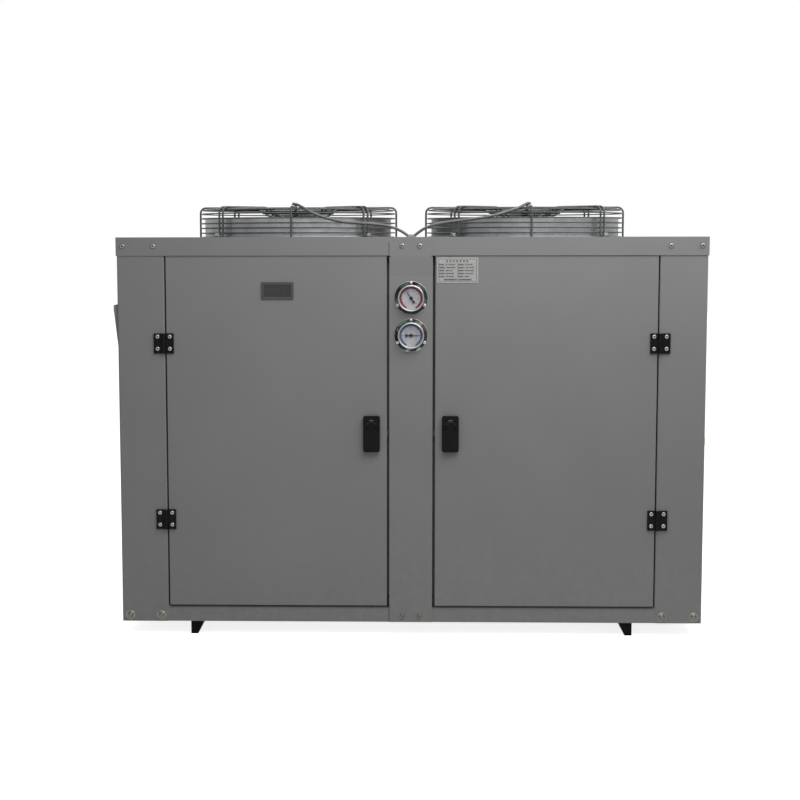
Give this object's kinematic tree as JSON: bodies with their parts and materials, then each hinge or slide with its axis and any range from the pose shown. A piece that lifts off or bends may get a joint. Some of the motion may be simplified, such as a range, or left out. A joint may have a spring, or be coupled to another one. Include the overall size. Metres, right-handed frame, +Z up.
{
  "type": "refrigeration condensing unit",
  "caption": "Air-cooled condensing unit in a folded sheet cabinet, with hinged front doors, pressure gauges and top-blowing fans under wire guards.",
  "frame": {"origin": "on the ground, midway between the four anchor holes in the skid rails", "axes": "+X to the unit's right seen from the doors, +Y to its back, +Z up"},
  "size_m": [1.4164, 0.8229, 1.0475],
  "materials": {
    "grey_paint": "satin grey powder coat",
    "black_paint": "black paint",
    "black_zinc": "black coated zinc casting",
    "zinc_steel": "bright zinc plate",
    "dark_steel": "black painted steel",
    "seal_rubber": "black foam rubber",
    "lead_rubber": "dark grey sheath",
    "grip_plastic": "grey moulded plastic",
    "black_plastic": "black moulded plastic",
    "grey_plastic": "dark grey moulded plastic",
    "screen_dark": "dark display window",
    "galvanised": "galvanised sheet",
    "guard_wire": "dark grey coated wire",
    "impeller_black": "black",
    "fin_aluminium": "aluminium fins",
    "copper": "copper tube",
    "brass": "brass",
    "vessel_paint": "black paint",
    "drier_paint": "blue paint",
    "box_paint": "light grey paint",
    "stainless": "polished stainless steel",
    "dial_white": "white dial",
    "lens_glass": "clear window",
    "plate_aluminium": "pale aluminium plate",
    "needle_black": "black"
  },
  "bodies": {
    "cabinet": {"base_tray": "grey_paint", "skid_rails": "black_paint", "front_post_left": "grey_paint", "front_post_right": "grey_paint", "rear_post_left": "grey_paint", "rear_post_right": "grey_paint", "centre_post": "grey_paint", "head_rail": "grey_paint", "sill_rail": "grey_paint", "top_cover": "grey_paint", "base_bolts": "zinc_steel", "door_seals": "seal_rubber", "side_grip": "grip_plastic", "fan_shrouds": "galvanised", "fan_guard_left": "guard_wire", "fan_guard_right": "guard_wire", "fan_motors": "dark_steel", "lead_glands": "black_plastic", "fan_lead_left": "lead_rubber", "fan_lead_right": "lead_rubber", "condenser_coil": "fin_aluminium", "coil_headers": "copper", "compressor": "black_paint", "compressor_mounts": "black_paint", "terminal_box": "black_plastic", "liquid_receiver": "vessel_paint", "suction_accumulator": "vessel_paint", "filter_drier": "drier_paint", "discharge_pipe": "copper", "suction_pipe": "copper", "liquid_pipe": "copper", "service_valves": "brass", "electrical_box": "box_paint", "box_supports": "galvanised", "hinge_frame_leaves": "black_zinc", "hinge_pins": "zinc_steel", "gauge_cases": "stainless", "gauge_dials": "dial_white", "gauge_lenses": "lens_glass"},
    "left_door": {"left_door": "grey_paint", "left_hinge_leaves": "black_zinc", "left_latch_case": "black_zinc", "left_latch_pin": "zinc_steel", "controller_bezel": "grey_plastic", "controller_screen": "screen_dark"},
    "right_door": {"right_door": "grey_paint", "right_hinge_leaves": "black_zinc", "right_latch_case": "black_zinc", "right_latch_pin": "zinc_steel", "nameplate": "plate_aluminium"},
    "left_paddle": {"left_paddle": "black_zinc"},
    "right_paddle": {"right_paddle": "black_zinc"},
    "left_latch_bolt": {"left_latch_bolt": "dark_steel"},
    "right_latch_bolt": {"right_latch_bolt": "dark_steel"},
    "impeller_left": {"impeller_left": "impeller_black"},
    "impeller_right": {"impeller_right": "impeller_black"},
    "gauge_needle_high": {"gauge_needle_high": "needle_black"},
    "gauge_needle_low": {"gauge_needle_low": "needle_black"}
  },
  "joints": [
    {"name": "left_door_hinge", "type": "hinge", "parent": "cabinet", "child": "left_door", "pos_m": [-0.5898, -0.405, 0.4955], "axis": [0, 0, -1], "range_deg": [0, 120]},
    {"name": "right_door_hinge", "type": "hinge", "parent": "cabinet", "child": "right_door", "pos_m": [0.5898, -0.405, 0.4955], "axis": [0, 0, 1], "range_deg": [0, 120]},
    {"name": "left_paddle_pivot", "type": "hinge", "parent": "left_door", "child": "left_paddle", "pos_m": [-0.094, -0.407, 0.51575], "axis": [-1, 0, 0], "range_deg": [0, 30], "stiffness_Nm_per_rad": 0.05, "springref_deg": -28.65},
    {"name": "left_bolt_slide", "type": "slide", "parent": "left_door", "child": "left_latch_bolt", "axis": [-1, 0, 0], "range_m": [0, 0.008]},
    {"name": "right_paddle_pivot", "type": "hinge", "parent": "right_door", "child": "right_paddle", "pos_m": [0.094, -0.407, 0.51575], "axis": [-1, 0, 0], "range_deg": [0, 30], "stiffness_Nm_per_rad": 0.05, "springref_deg": -28.65},
    {"name": "right_bolt_slide", "type": "slide", "parent": "right_door", "child": "right_latch_bolt", "axis": [1, 0, 0], "range_m": [0, 0.008]},
    {"name": "fan_spin_left", "type": "hinge", "parent": "cabinet", "child": "impeller_left", "pos_m": [-0.2947, 0, 0.98], "axis": [0, 0, 1], "continuous": true},
    {"name": "fan_spin_right", "type": "hinge", "parent": "cabinet", "child": "impeller_right", "pos_m": [0.2947, 0, 0.98], "axis": [0, 0, 1], "continuous": true},
    {"name": "needle_turn_high", "type": "hinge", "parent": "cabinet", "child": "gauge_needle_high", "pos_m": [0, -0.407, 0.8158], "axis": [0, 1, 0], "range_deg": [-101, 169], "stiffness_Nm_per_rad": 0.002},
    {"name": "needle_turn_low", "type": "hinge", "parent": "cabinet", "child": "gauge_needle_low", "pos_m": [0, -0.407, 0.7274], "axis": [0, 1, 0], "range_deg": [-225, 45], "stiffness_Nm_per_rad": 0.002}
  ],
  "couplings": [
    {"joint": "left_bolt_slide", "follows": "left_paddle_pivot", "m_per_rad": 0.0152},
    {"joint": "right_bolt_slide", "follows": "right_paddle_pivot", "m_per_rad": 0.0152}
  ]
}
